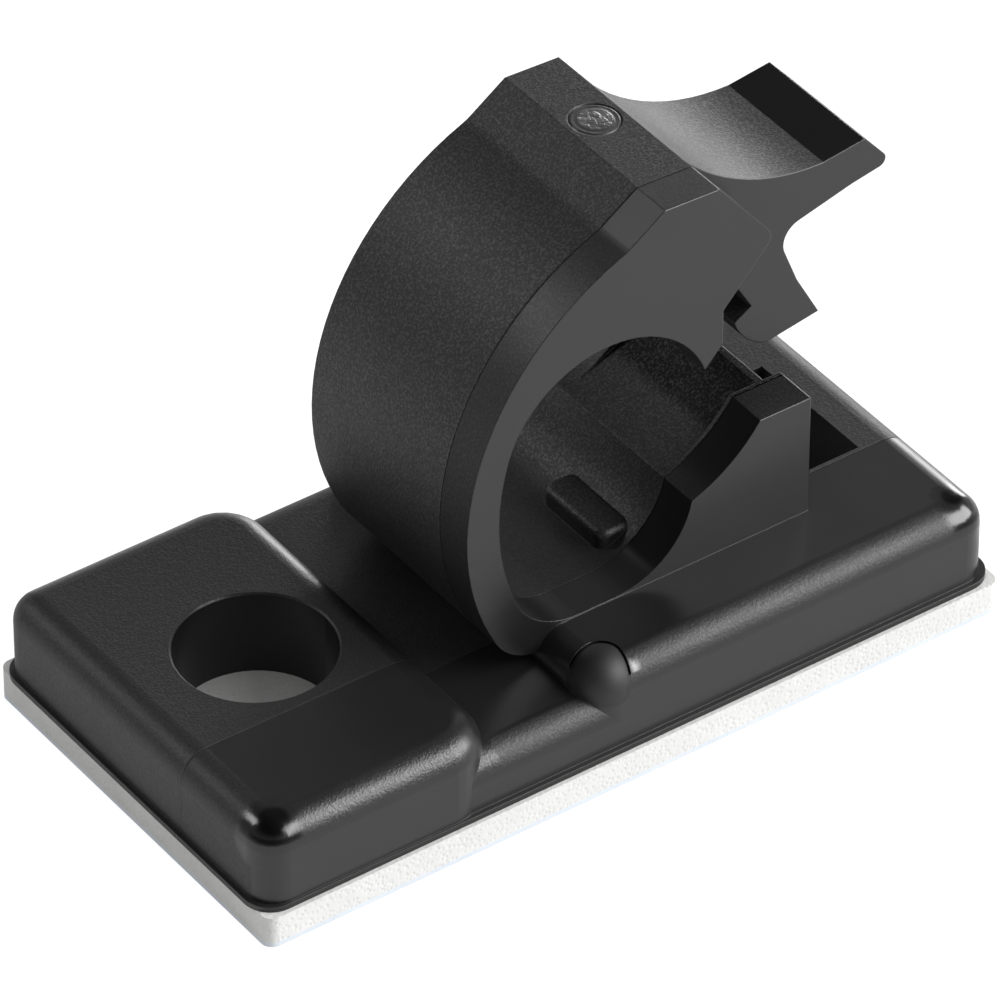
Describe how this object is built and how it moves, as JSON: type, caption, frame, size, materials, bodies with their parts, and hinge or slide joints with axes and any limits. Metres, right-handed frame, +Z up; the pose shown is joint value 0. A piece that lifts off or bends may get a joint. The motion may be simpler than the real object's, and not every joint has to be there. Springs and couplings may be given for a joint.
{
  "type": "adhesive cable clip",
  "caption": "Self-adhesive cable clip with a flat foam-backed base, a screw hole, an open flexing loop and a hooked thumb lever that snaps onto a latch post.",
  "frame": {"origin": "middle of the flat underside, where the clip sits on its surface", "axes": "+X along the length from the screw-hole end to the latch end, +Y across to the back, +Z up away from the surface"},
  "size_m": [0.0282, 0.0148, 0.0186],
  "materials": {
    "black_nylon": "satin black nylon with a fine moulded grain",
    "white_foam": "matt white closed-cell foam",
    "liner_paper": "smooth pale bluish grey coated paper"
  },
  "bodies": {
    "root": {"clip_body": "black_nylon", "foam_pad": "white_foam", "release_liner": "liner_paper"}
  },
  "joints": []
}
